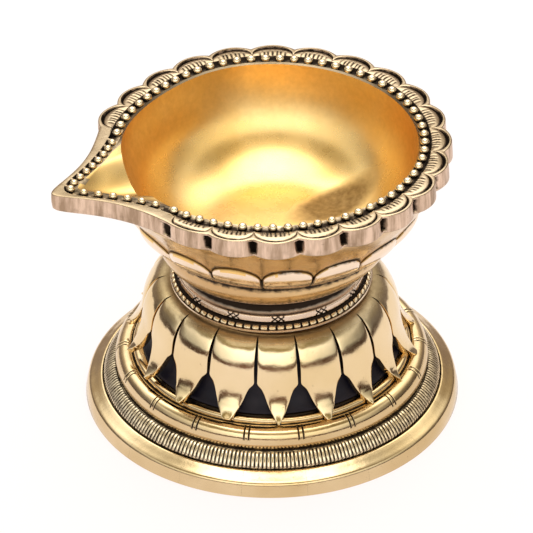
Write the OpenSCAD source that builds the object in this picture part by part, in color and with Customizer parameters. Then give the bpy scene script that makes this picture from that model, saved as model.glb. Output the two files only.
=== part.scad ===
// Cast brass diya: a spouted oil bowl on a neck, a lotus skirt and a stepped foot ring,
// drawn together by one stud and a nut under the foot. Millimetres, +Z up.
// The origin is on the lamp's axis, on the surface that the foot stands on.

/* [Foot] */
// Diameter of the foot where it meets the table
foot_d = 125; // [122:1:130]
// Height of the plain upright band round the foot
foot_band_h = 4.4; // [3:0.2:5]
// Wall of the foot casting
foot_wall = 3; // [2.4:0.2:3.4]
// Height of the ledge that carries the drum
ledge_z = 19.8; // [19.4:0.2:20.2]

/* [Lotus skirt] */
// Number of petals round the skirt
petals = 18; // [14:1:20]
// Radius of the curled petal tips
tip_r = 49; // [48:0.5:50]
// Height of the petal tips above the table
tip_z = 20.8; // [20.6:0.1:21.4]
// Radius of the skirt's waist, just over the petal points
waist_r = 42.6; // [42:0.2:43.4]
// Wall of the skirt casting
skirt_wall = 2.6; // [2:0.2:2.6]
// Width of the slit between two petals
slit_w = 1.3; // [0.8:0.1:1.6]

/* [Neck] */
// Height of the skirt's flat top, where the bead ring lies
skirt_top_z = 45.4; // [45.4:0.1:45.6]
// Radius of the bead ring's lip
bead_lip_r = 33.6; // [33:0.2:34]
// Radius of the collar's fillet
fillet_r = 31.2; // [30.4:0.2:31.6]
// Height of the joint between the bowl casting and the neck collar
bowl_seat_z = 56.6; // [56.2:0.2:57]

/* [Bowl] */
// Height of the rim's flat top
rim_z = 98.2; // [97:0.2:100]
// Height of the rim's upright side
rim_h = 6.6; // [6:0.2:7]
// Number of scallop steps in a full turn, those under the spout included
scallop_steps = 24.4; // [24:0.2:25]
// Scallops that are drawn
scallops = 20; // [18:1:20]
// Radius of the dips between scallops
dip_r = 56.9; // [56:0.1:58]
// How far a scallop stands out from its dips
scallop_rise = 2.2; // [1:0.1:2.6]
// Radius of the row of beads round the oil well
bead_row_r = 50.3; // [50:0.1:51]
// Radius of a rim bead
bead_r = 1.4; // [1:0.1:1.5]
// Radius of the oil well at the rim
well_r = 48.4; // [47:0.2:48.6]
// Height of the bottom of the oil well
well_z = 65.5; // [65:0.5:68]

/* [Spout] */
// Direction of the spout, counterclockwise from the front's right
spout_a = 203; // [203:1:205]
// Reach of the spout from the lamp's axis
spout_reach = 76.2; // [72:0.2:80]
// Half the width of the spout where it leaves the scallops
spout_half_w = 29; // [28:0.5:30]
// Height of the trough's floor where it meets the oil well
trough_z = 90.5; // [88:0.5:92]

/* [Fastening] */
// Thread diameter of the tie stud
stud_d = 8; // [6:1:8]
// Width of the nut across its flats
nut_af = 13; // [13:1:14]

/* [Hidden] */
$fn = 96;

foot_r = foot_d / 2;
stud_r = stud_d / 2;
bore_r = stud_r + 0.3;
petal_a = 360 / petals;
first_gap_a = -97.2;
scallop_a = 360 / scallop_steps;
first_dip_a = -125.2;
spout_root = 48.9;
run_len = spout_reach - spout_root;
trough_tip = 66;
trough_half_w = 17;
ledge_r = 45.2;
well_floor_r = 20;
drum_top_z = skirt_top_z - 3;
boss_r = 14;
spigot_r = 10;
spigot_h = 3.6;
plate_top_z = ledge_z - foot_wall;
plate_t = 2;
washer_t = 1.6;
nut_h = 6.5;
eps = 0.05;

// A point on a cubic curve through four control points
function cubic(a, b, c, d, t) =
    pow(1 - t, 3) * a + 3 * pow(1 - t, 2) * t * b + 3 * (1 - t) * t * t * c + t * t * t * d;

// A run of points along the curve, its first end left out
function run(a, b, c, d, n) = [for (i = [1 : n]) cubic(a, b, c, d, i / n)];

// The skirt's section from its flat top to the petal tips, moved inwards by the wall
function skirt_line(in) = concat(
    [[33.8 - in / 2, skirt_top_z - in]],
    run([33.8 - in / 2, skirt_top_z - in], [37.5 - in, skirt_top_z - in],
        [waist_r - 1 - in, 41.5 - in / 2], [waist_r - in, 34.5], 7),
    run([waist_r - in, 34.5], [waist_r + 0.6 - in, 29.5],
        [waist_r + 2.4 - in, 23.5], [tip_r - in, tip_z], 6)
);

// Points along one scallop, from its first dip up to the next
function scallop(i) = [
    for (t = [0 : 0.125 : 0.875])
        let (a = first_dip_a + scallop_a * (i + t), r = dip_r + scallop_rise * 4 * t * (1 - t))
        [r * cos(a), r * sin(a)]
];

// Half width of the spout at a share of its run, one at the root and none at the tip
function spout_w(t) = spout_half_w * (0.6 * t + 0.4 * pow(t, 4));

// A flat ring of the tie stack between two heights
module ring(r_out, r_in, z0, z1) {
    difference() {
        translate([0, 0, z0]) cylinder(r = r_out, h = z1 - z0);
        translate([0, 0, z0 - 1]) cylinder(r = r_in, h = z1 - z0 + 2);
    }
}

// Plan of the rim: a disc with a lobe for each scallop, and the pointed spout
module rim_plan() {
    polygon([for (i = [0 : scallops - 1]) each scallop(i)]);
    rotate(spout_a) polygon(concat(
        [[0, -spout_half_w], [spout_root, -spout_half_w]],
        [for (t = [0.9 : -0.1 : 0.1]) [spout_reach - run_len * t, -spout_w(t)]],
        [[spout_reach, 0]],
        [for (t = [0.1 : 0.1 : 0.9]) [spout_reach - run_len * t, spout_w(t)]],
        [[spout_root, spout_half_w], [0, spout_half_w]]
    ));
}

// The bowl's turned outside: seat, rounded collar, carved belly and the rim's underside
module bowl_outside() {
    rotate_extrude() polygon(concat(
        [[0, bowl_seat_z], [33.4, bowl_seat_z], [34, 57.1]],
        run([34, 57.1], [36.6, 58.4], [39.2, 62], [39.4, 66.2], 6),
        [[41.3, 68.2], [48.6, 79.6]],
        run([48.6, 79.6], [52.4, 85.4], [55, 88.6], [dip_r - 0.4, rim_z - rim_h], 4),
        [[dip_r - 0.4, rim_z - rim_h + 1], [0, rim_z - rim_h + 1]]
    ));
}

// The oil well: steep at the rim and round at the bottom
module oil_well() {
    rotate_extrude() polygon(concat(
        [[0, rim_z + 5], [well_r, rim_z + 5], [well_r, rim_z - 1]],
        run([well_r, rim_z - 1], [well_r - 1, rim_z - 18], [well_r - 11, well_z], [well_floor_r, well_z], 12),
        [[0, well_z]]
    ));
}

// The spout's keel, from its tip down into the belly
module spout_keel() {
    intersection() {
        rotate(spout_a) translate([0, spout_half_w, 0]) rotate([90, 0, 0])
            linear_extrude(2 * spout_half_w)
            polygon([[38, 76], [44, 76], [56, 87], [spout_reach, 94.6], [spout_reach, 96], [38, 96]]);
        translate([0, 0, 70]) linear_extrude(26) rotate(spout_a) polygon(concat(
            [[34, -15]],
            [for (t = [0.7 : -0.1 : 0.1]) [spout_reach - run_len * t, -spout_w(t)]],
            [[spout_reach, 0]],
            [for (t = [0.1 : 0.1 : 0.7]) [spout_reach - run_len * t, spout_w(t)]],
            [[34, 15]]
        ));
    }
}

// The raised row round the well that the beads are cut from
module bead_row() {
    rotate_extrude() translate([bead_row_r, rim_z]) circle(r = bead_r);
}

// The sloping trough that leads a wick from the well to the spout's tip
module trough() {
    intersection() {
        rotate(spout_a) translate([0, spout_half_w, 0]) rotate([90, 0, 0])
            linear_extrude(2 * spout_half_w)
            polygon([[40, trough_z - 2], [46.5, trough_z], [trough_tip, rim_z - 0.8], [trough_tip, 110], [40, 110]]);
        translate([0, 0, 70]) linear_extrude(40) rotate(spout_a) polygon(concat(
            [[40, -trough_half_w - 4], [46, -trough_half_w]],
            [for (t = [0.8 : -0.2 : 0.2]) [trough_tip - 20 * t, -trough_half_w * (0.75 * t + 0.25 * pow(t, 4))]],
            [[trough_tip, 0]],
            [for (t = [0.2 : 0.2 : 0.8]) [trough_tip - 20 * t, trough_half_w * (0.75 * t + 0.25 * pow(t, 4))]],
            [[46, trough_half_w], [40, trough_half_w + 4]]
        ));
    }
}

module oil_bowl() {
    color("#c9a45c") difference() {
        union() {
            bowl_outside();
            translate([0, 0, rim_z - rim_h]) linear_extrude(rim_h) rim_plan();
            spout_keel();
            bead_row();
            translate([0, 0, bowl_seat_z - spigot_h]) cylinder(r = spigot_r, h = spigot_h + 1);
        }
        oil_well();
        trough();
        translate([0, 0, bowl_seat_z - spigot_h - 1]) cylinder(r = stud_r, h = spigot_h + 6.4);
    }
}

// Dark hollow moulding over a thin fillet, turned as one piece
module neck_collar() {
    seat = skirt_top_z + 2.4;
    color("#a9803f") difference() {
        rotate_extrude() polygon(concat(
            [[bore_r, seat], [30.6, seat], [fillet_r, seat + 0.5], [fillet_r, seat + 1.9], [30.2, seat + 2.7]],
            run([30.2, seat + 2.7], [28, seat + 4.4], [28.6, seat + 7], [33.4, bowl_seat_z], 6),
            [[bore_r, bowl_seat_z]]
        ));
        translate([0, 0, bowl_seat_z - spigot_h]) cylinder(r = spigot_r + eps, h = spigot_h + 1);
    }
}

// The beaded ring under the collar, with its thin lip
module bead_ring() {
    seat = skirt_top_z;
    color("#d8b66a") rotate_extrude() polygon(concat(
        [[boss_r, seat], [bead_lip_r, seat], [bead_lip_r, seat + 0.7], [32.9, seat + 0.8]],
        run([32.9, seat + 0.8], [33.5, seat + 1.6], [32.6, seat + 2.3], [31.4, seat + 2.4], 4),
        [[boss_r, seat + 2.4]]
    ));
}

// One opening between two petals: a pointed arch with a thin slit running up from it
module petal_gap() {
    arch_top = 33.4;
    slit_end_r = 35.6;
    right = [
        [7.6, tip_z - 2], [7.6, tip_z + 0.1], [5.4, 24.6], [3.9, 29], [2.7, 31.9], [1.4, arch_top],
        [slit_w / 2, arch_top + 0.3], [slit_w * 0.6, 40], [slit_w * 0.25, 50]
    ];
    rotate([90, 0, 90]) translate([0, 0, slit_end_r]) linear_extrude(18) polygon(concat(
        right,
        [for (i = [len(right) - 1 : -1 : 0]) [-right[i][0], right[i][1]]]
    ));
}

module lotus_skirt() {
    wall_line = skirt_line(skirt_wall);
    boss_top = skirt_top_z + 2.4;
    color("#d9b97c") difference() {
        rotate_extrude() polygon(concat(
            [[bore_r, skirt_top_z - 3], [bore_r, boss_top], [boss_r - eps, boss_top], [boss_r - eps, skirt_top_z]],
            skirt_line(0),
            [for (i = [len(wall_line) - 1 : -1 : 0]) wall_line[i]],
            [[32, skirt_top_z - 3]]
        ));
        for (i = [0 : petals - 1]) rotate(first_gap_a + petal_a * i) petal_gap();
    }
}

// The blackened drum inside the skirt, which carries it over the foot
module inner_drum() {
    color("#15141f") rotate_extrude() polygon([
        [37, ledge_z], [43.4, ledge_z], [43.2, 21], [40.2, 24.5], [38.8, 30], [38.4, 35], [36.8, 38.6],
        [33, drum_top_z], [bore_r, drum_top_z], [bore_r, drum_top_z - 2], [32, drum_top_z - 2],
        [35, 37.8], [36.4, 34.6], [36.8, 30], [37, 24]
    ]);
}

// The stepped foot: upright band, sloped flange, reeded band, roll and the drum's ledge
module foot_ring() {
    band_r = foot_r - 0.9;
    color("#cfa964") rotate_extrude() polygon(concat(
        [[foot_r - foot_wall - 1, 0], [foot_r - 0.3, 0], [foot_r, 0.3], [band_r, foot_band_h], [band_r - 0.7, 5.3]],
        [[57.2, 7.2], [56.6, 6.9], [56.2, 7.7], [54.6, 10], [52.5, 11.4], [51.7, 11.2]],
        run([51.7, 11.6], [53.3, 14.6], [51.8, 18.4], [48.8, 18.5], 7),
        [[47.2, 18.3], [46.6, 17.8], [46.3, 19], [ledge_r, ledge_z], [34, ledge_z], [34, ledge_z - foot_wall]],
        [[43.4, ledge_z - foot_wall], [47.6, 15.4], [48.6, 10.4], [52.6, 7.4], [foot_r - foot_wall - 1, 2.6]]
    ));
}

module tie_stud() {
    color("#b9bcc0") translate([0, 0, 4.6]) cylinder(r = stud_r, h = bowl_seat_z + 2.8 - 4.6);
}

module clamp_plate() {
    color("#a8abb0") ring(41, bore_r, plate_top_z - plate_t, plate_top_z);
}

module spring_washer() {
    color("#9fa3a8") ring(7, bore_r, plate_top_z - plate_t - washer_t, plate_top_z - plate_t);
}

module tie_nut() {
    nut_z = plate_top_z - plate_t - washer_t - nut_h;
    color("#b5b8bc") difference() {
        translate([0, 0, nut_z]) cylinder(d = nut_af / cos(30), h = nut_h, $fn = 6);
        translate([0, 0, nut_z - 1]) cylinder(r = stud_r, h = nut_h + 2);
    }
}

oil_bowl();
neck_collar();
bead_ring();
lotus_skirt();
inner_drum();
foot_ring();
tie_stud();
clamp_plate();
spring_washer();
tie_nut();
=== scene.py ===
"""Cast brass diya lamp: the looks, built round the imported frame.

Sizes in the classes are millimetres on the lamp's own axis, +Z up, with the
table at zero. Each turned part is a section spun round the axis, and its
relief is cut by moving the rows and columns of that spin.
"""

import logging
import math
from dataclasses import dataclass, field
from enum import Enum
from typing import Sequence

import bmesh
import bpy
import numpy as np
from mathutils import Matrix, Vector


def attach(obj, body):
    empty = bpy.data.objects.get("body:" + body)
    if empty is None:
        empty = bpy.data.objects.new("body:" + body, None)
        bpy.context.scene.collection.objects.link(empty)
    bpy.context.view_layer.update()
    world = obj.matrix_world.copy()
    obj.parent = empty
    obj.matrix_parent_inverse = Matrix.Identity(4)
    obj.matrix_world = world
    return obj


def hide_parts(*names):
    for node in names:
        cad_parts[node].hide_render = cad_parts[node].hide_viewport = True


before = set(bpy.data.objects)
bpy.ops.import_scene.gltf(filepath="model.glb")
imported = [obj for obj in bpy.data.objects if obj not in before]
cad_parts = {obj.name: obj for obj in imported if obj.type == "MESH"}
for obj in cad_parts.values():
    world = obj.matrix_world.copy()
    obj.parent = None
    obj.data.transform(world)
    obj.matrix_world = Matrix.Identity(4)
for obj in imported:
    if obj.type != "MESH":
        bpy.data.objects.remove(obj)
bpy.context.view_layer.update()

MM = 0.001
LOG = logging.getLogger("diya")
Point = tuple[float, float]
Section = list[Point]


# ---------------------------------------------------------------- helpers


def curve_run(a: Point, b: Point, c: Point, d: Point, count: int, with_first: bool = False) -> Section:
    """Points along a cubic curve.

    Args:
        a: First control point, radius and height.
        b: Second control point.
        c: Third control point.
        d: Last control point.
        count: Number of spans.
        with_first: Keep the first control point too.

    Returns:
        The points from a to d.
    """
    t = np.linspace(0.0, 1.0, count + 1)[:, None]
    pts = (
        (1 - t) ** 3 * np.array(a)
        + 3 * (1 - t) ** 2 * t * np.array(b)
        + 3 * (1 - t) * t**2 * np.array(c)
        + t**3 * np.array(d)
    )
    return [tuple(p) for p in pts[0 if with_first else 1:]]


def ease(x: np.ndarray, low: float, high: float) -> np.ndarray:
    """A smooth step from 0 at low to 1 at high."""
    t = np.clip((np.asarray(x, float) - low) / (high - low), 0.0, 1.0)
    return t * t * (3 - 2 * t)


def hump(x: np.ndarray, half_width: float) -> np.ndarray:
    """A rounded bump, 1 at zero and 0 beyond the half width."""
    return np.clip(1.0 - (np.asarray(x, float) / half_width) ** 2, 0.0, 1.0)


def wrap_deg(angle: np.ndarray) -> np.ndarray:
    """Angles brought into the half turn either side of zero."""
    return (np.asarray(angle, float) + 180.0) % 360.0 - 180.0


def arch(t: np.ndarray) -> np.ndarray:
    """A parabola over one span, 0 at both ends and 1 at the middle."""
    t = np.asarray(t, float)
    return np.clip(4.0 * t * (1.0 - t), 0.0, 1.0)


class Spun:
    """A section spun round the axis, with the row and column of each vertex.

    Args:
        section: Closed outline as radius and height in millimetres.
        steps: Number of columns in a full turn.
    """

    def __init__(self, section: Sequence[Point], steps: int) -> None:
        """Spin the section."""
        self.steps = steps
        self.bm = bmesh.new()
        # This darkening attribute holds real patina in marks and joints, and also painted shade and one painted
        # reflection.
        self.patina_and_shade_layer = self.bm.verts.layers.float.new("patina_and_shade")
        row_layer = self.bm.verts.layers.int.new("row")
        ring = []
        for number, (r, z) in enumerate(section):
            vert = self.bm.verts.new((r * MM, 0.0, z * MM))
            vert[row_layer] = number
            ring.append(vert)
        on_axis = section[0][0] == 0 and section[-1][0] == 0
        edges = [self.bm.edges.new((ring[i - 1], ring[i])) for i in range(1 if on_axis else 0, len(ring))]
        bmesh.ops.spin(
            self.bm, geom=ring + edges, cent=(0, 0, 0), axis=(0, 0, 1), dvec=(0, 0, 0),
            angle=2 * math.pi, steps=steps, use_merge=True, use_duplicate=False,
        )
        self.bm.verts.ensure_lookup_table()
        self.row = np.array([v[row_layer] for v in self.bm.verts])
        co = np.array([v.co[:] for v in self.bm.verts], float) / MM
        self.radius = np.hypot(co[:, 0], co[:, 1])
        self.height = co[:, 2].copy()
        turn = np.arctan2(co[:, 1], co[:, 0]) / (2 * math.pi)
        self.column = np.rint(turn * steps).astype(int) % steps
        self.azimuth = self.column * (360.0 / steps)
        self.patina_and_shade = np.zeros(len(self.row))

    def place_polar(self, r: np.ndarray, azimuth: np.ndarray, z: np.ndarray) -> None:
        """Set every vertex from its radius, azimuth in degrees and height."""
        a = np.radians(azimuth)
        self.place(r * np.cos(a), r * np.sin(a), z)

    def place(self, x: np.ndarray, y: np.ndarray, z: np.ndarray) -> None:
        """Set every vertex and its patina and painted shade, in millimetres."""
        co = np.stack([x, y, z], axis=1) * MM
        for vert, at, dark in zip(self.bm.verts, co, self.patina_and_shade):
            vert.co = at
            vert[self.patina_and_shade_layer] = float(dark)

    def close(self) -> bmesh.types.BMesh:
        """Weld poles and turn the faces outwards."""
        bmesh.ops.remove_doubles(self.bm, verts=self.bm.verts, dist=2e-6)
        bmesh.ops.recalc_face_normals(self.bm, faces=self.bm.faces)
        return self.bm


def make_piece(
    name: str, bm: bmesh.types.BMesh, material: bpy.types.Material,
    stands_for: Sequence[str] = (), sharp_deg: float = 42.0,
) -> bpy.types.Object:
    """Turn a bmesh into a finished piece that rides on the lamp.

    Args:
        name: Name of the piece.
        bm: The mesh, already in place. It is freed.
        material: The finish.
        stands_for: CAD nodes that the piece replaces.
        sharp_deg: Edges bent more than this stay crisp.

    Returns:
        The new object.
    """
    mesh = bpy.data.meshes.new(name)
    for kind in (bm.verts.layers.float, bm.verts.layers.int):
        for key in [layer.name for layer in kind.values() if layer.name != "patina_and_shade"]:
            kind.remove(kind[key])
    bm.to_mesh(mesh)
    bm.free()
    mesh.materials.append(material)
    mesh.shade_smooth()
    mesh.set_sharp_from_angle(angle=math.radians(sharp_deg))
    piece = bpy.data.objects.new(name, mesh)
    bpy.context.scene.collection.objects.link(piece)
    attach(piece, "root")
    if stands_for:
        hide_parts(*stands_for)
    faces = len(mesh.polygons)
    LOG.info("%s: %d faces", name, faces)
    return piece


def face_facts(piece: bpy.types.Object) -> tuple[np.ndarray, np.ndarray]:
    """Centres in millimetres and normals of a piece's faces."""
    count = len(piece.data.polygons)
    centre, normal = np.zeros(count * 3, np.float32), np.zeros(count * 3, np.float32)
    piece.data.polygons.foreach_get("center", centre)
    piece.data.polygons.foreach_get("normal", normal)
    return centre.reshape(-1, 3) / MM, normal.reshape(-1, 3)


def join_bmesh(parts: Sequence[bmesh.types.BMesh]) -> bmesh.types.BMesh:
    """Gather several closed shells of one casting into one bmesh.

    Args:
        parts: The shells. All but the first are freed.

    Returns:
        The first bmesh, with the others' shells added.
    """
    whole = parts[0]
    for part in parts[1:]:
        scratch = bpy.data.meshes.new("scratch")
        part.to_mesh(scratch)
        part.free()
        whole.from_mesh(scratch)
        bpy.data.meshes.remove(scratch)
    return whole


# --------------------------------------------------------------- finishes


class Pattern(Enum):
    """How the fine marks of a finish run."""

    BUFFED = "buffed"
    FILED_UPRIGHT = "filed"
    SATIN = "satin"


@dataclass(frozen=True)
class BrassFinish:
    """One brass finish: its metal, its tarnish and painted shade, and its marks."""

    name: str
    metal: tuple[float, float, float] = (0.88, 0.72, 0.50)
    warm: tuple[float, float, float] = (0.84, 0.62, 0.36)
    tarnish_and_shade: tuple[float, float, float] = (0.030, 0.020, 0.014)
    rough_low: float = 0.10
    rough_high: float = 0.26
    dent: float = 0.25
    grain: float = 0.12
    pits: float = 0.5
    speckle: float = 0.35
    ragged: float = 0.28
    pattern: Pattern = Pattern.BUFFED

    def material(self) -> bpy.types.Material:
        """Build the node material.

        Returns:
            The material, reading Object coordinates and the darkening attribute, which holds patina and painted shade.
        """
        mat = bpy.data.materials.new(self.name)
        mat.use_nodes = True
        nodes, links = mat.node_tree.nodes, mat.node_tree.links
        shader = nodes["Principled BSDF"]
        shader.inputs["Metallic"].default_value = 1.0
        where = nodes.new("ShaderNodeTexCoord").outputs["Object"]
        stretch = nodes.new("ShaderNodeMapping")
        stretch.inputs["Scale"].default_value = (
            (1.0, 1.0, 0.14) if self.pattern is Pattern.FILED_UPRIGHT else (1.0, 1.0, 1.0)
        )
        links.new(where, stretch.inputs["Vector"])

        def noise(scale: float, detail: float, source: bpy.types.NodeSocket = where) -> bpy.types.NodeSocket:
            """A noise value at a scale in waves per metre."""
            node = nodes.new("ShaderNodeTexNoise")
            node.inputs["Scale"].default_value = scale
            node.inputs["Detail"].default_value = detail
            node.inputs["Roughness"].default_value = 0.6
            links.new(source, node.inputs["Vector"])
            return node.outputs["Fac"]

        def span(value: bpy.types.NodeSocket, a: float, b: float, c: float, d: float) -> bpy.types.NodeSocket:
            """The value mapped from a..b to c..d and held there."""
            node = nodes.new("ShaderNodeMapRange")
            for key, number in zip(("From Min", "From Max", "To Min", "To Max"), (a, b, c, d)):
                node.inputs[key].default_value = number
            links.new(value, node.inputs["Value"])
            return node.outputs["Result"]

        def maths(kind: str, a: bpy.types.NodeSocket, b: bpy.types.NodeSocket | float) -> bpy.types.NodeSocket:
            """Two values combined and held to 0..1."""
            node = nodes.new("ShaderNodeMath")
            node.operation, node.use_clamp = kind, True
            links.new(a, node.inputs[0])
            if isinstance(b, float):
                node.inputs[1].default_value = b
            else:
                links.new(b, node.inputs[1])
            return node.outputs["Value"]

        def blend(share: bpy.types.NodeSocket, a: tuple | bpy.types.NodeSocket, b: tuple) -> bpy.types.NodeSocket:
            """Two colours mixed by a share."""
            node = nodes.new("ShaderNodeMix")
            node.data_type = "RGBA"
            links.new(share, node.inputs["Factor"])
            for socket, value in ((node.inputs[6], a), (node.inputs[7], b)):
                if isinstance(value, tuple):
                    socket.default_value = (*value, 1.0)
                else:
                    links.new(value, socket)
            return node.outputs[2]

        # The darkening attribute mixes the metal towards the dark colour: real patina, and also painted shade and a
        # painted reflection.
        attribute = nodes.new("ShaderNodeAttribute")
        attribute.attribute_name = "patina_and_shade"
        dirt_and_shade = attribute.outputs["Fac"]
        ragged = span(noise(520.0, 4.0), 0.30, 0.70, -self.ragged, self.ragged)
        node = nodes.new("ShaderNodeMath")
        node.operation = "MULTIPLY_ADD"
        links.new(ragged, node.inputs[0])
        links.new(maths("MINIMUM", span(dirt_and_shade, 0.0, 0.35, 0.0, 1.0), 1.0), node.inputs[1])
        links.new(dirt_and_shade, node.inputs[2])
        grime_and_shade = span(node.outputs["Value"], 0.12, 0.72, 0.0, 1.0)
        fleck = maths("MULTIPLY", span(noise(760.0, 2.0), 0.70, 0.78, 0.0, 1.0), span(noise(55.0, 2.0), 0.42, 0.62, 0.0, self.speckle))
        all_dirt_and_shade = maths("MAXIMUM", grime_and_shade, fleck)
        filed = self.pattern is Pattern.FILED_UPRIGHT
        cloud = noise(420.0, 4.0, stretch.outputs["Vector"]) if filed else noise(28.0, 3.0)
        tone = blend(span(cloud, 0.35, 0.65, 0.0, 1.0), self.metal, self.warm)
        links.new(blend(all_dirt_and_shade, tone, self.tarnish_and_shade), shader.inputs["Base Color"])

        rough = nodes.new("ShaderNodeMath")
        rough.operation = "MULTIPLY_ADD"
        links.new(all_dirt_and_shade, rough.inputs[0])
        rough.inputs[1].default_value = 0.35
        links.new(span(noise(190.0, 5.0, stretch.outputs["Vector"]), 0.3, 0.7, self.rough_low, self.rough_high), rough.inputs[2])
        links.new(rough.outputs["Value"], shader.inputs["Roughness"])

        flow = shader.inputs["Normal"]
        layers = (
            (noise(75.0, 2.0), self.dent, 0.0006),
            (noise(900.0, 4.0, stretch.outputs["Vector"]), self.grain, 0.00016),
            (fleck, self.pits, -0.00012),
        )
        below = None
        for height, strength, distance in layers:
            bump = nodes.new("ShaderNodeBump")
            bump.inputs["Strength"].default_value = strength
            bump.inputs["Distance"].default_value = abs(distance)
            bump.invert = distance < 0
            links.new(height, bump.inputs["Height"])
            if below is not None:
                links.new(below, bump.inputs["Normal"])
            below = bump.outputs["Normal"]
        links.new(below, flow)
        return mat


@dataclass(frozen=True)
class PaintFinish:
    """A brushed coat of black paint over cast metal."""

    name: str
    coat: tuple[float, float, float] = (0.006, 0.005, 0.012)
    dust: tuple[float, float, float] = (0.018, 0.014, 0.020)

    def material(self) -> bpy.types.Material:
        """Build the node material."""
        mat = bpy.data.materials.new(self.name)
        mat.use_nodes = True
        nodes, links = mat.node_tree.nodes, mat.node_tree.links
        shader = nodes["Principled BSDF"]
        where = nodes.new("ShaderNodeTexCoord").outputs["Object"]
        shader.inputs["Specular IOR Level"].default_value = 0.22
        wear = nodes.new("ShaderNodeTexNoise")
        wear.inputs["Scale"].default_value = 160.0
        wear.inputs["Detail"].default_value = 6.0
        links.new(where, wear.inputs["Vector"])
        tint = nodes.new("ShaderNodeValToRGB")
        tint.color_ramp.elements[0].position = 0.40
        tint.color_ramp.elements[0].color = (*self.coat, 1.0)
        tint.color_ramp.elements[1].position = 0.75
        tint.color_ramp.elements[1].color = (*self.dust, 1.0)
        links.new(wear.outputs["Fac"], tint.inputs["Fac"])
        links.new(tint.outputs["Color"], shader.inputs["Base Color"])
        gloss = nodes.new("ShaderNodeMapRange")
        gloss.inputs["To Min"].default_value = 0.38
        gloss.inputs["To Max"].default_value = 0.62
        links.new(wear.outputs["Fac"], gloss.inputs["Value"])
        links.new(gloss.outputs["Result"], shader.inputs["Roughness"])
        bump = nodes.new("ShaderNodeBump")
        bump.inputs["Strength"].default_value = 0.25
        bump.inputs["Distance"].default_value = 0.0002
        links.new(wear.outputs["Fac"], bump.inputs["Height"])
        links.new(bump.outputs["Normal"], shader.inputs["Normal"])
        return mat


@dataclass(frozen=True)
class SteelFinish:
    """Bright zinc plating with a fine mottled grain."""

    name: str
    bright: tuple[float, float, float] = (0.62, 0.63, 0.64)
    dull: tuple[float, float, float] = (0.42, 0.42, 0.41)

    def material(self) -> bpy.types.Material:
        """Build the node material."""
        mat = bpy.data.materials.new(self.name)
        mat.use_nodes = True
        nodes, links = mat.node_tree.nodes, mat.node_tree.links
        shader = nodes["Principled BSDF"]
        shader.inputs["Metallic"].default_value = 1.0
        where = nodes.new("ShaderNodeTexCoord").outputs["Object"]
        mottle = nodes.new("ShaderNodeTexNoise")
        mottle.inputs["Scale"].default_value = 320.0
        mottle.inputs["Detail"].default_value = 5.0
        links.new(where, mottle.inputs["Vector"])
        tint = nodes.new("ShaderNodeValToRGB")
        tint.color_ramp.elements[0].position = 0.35
        tint.color_ramp.elements[0].color = (*self.dull, 1.0)
        tint.color_ramp.elements[1].position = 0.65
        tint.color_ramp.elements[1].color = (*self.bright, 1.0)
        links.new(mottle.outputs["Fac"], tint.inputs["Fac"])
        links.new(tint.outputs["Color"], shader.inputs["Base Color"])
        gloss = nodes.new("ShaderNodeMapRange")
        gloss.inputs["To Min"].default_value = 0.25
        gloss.inputs["To Max"].default_value = 0.5
        links.new(mottle.outputs["Fac"], gloss.inputs["Value"])
        links.new(gloss.outputs["Result"], shader.inputs["Roughness"])
        return mat


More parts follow.
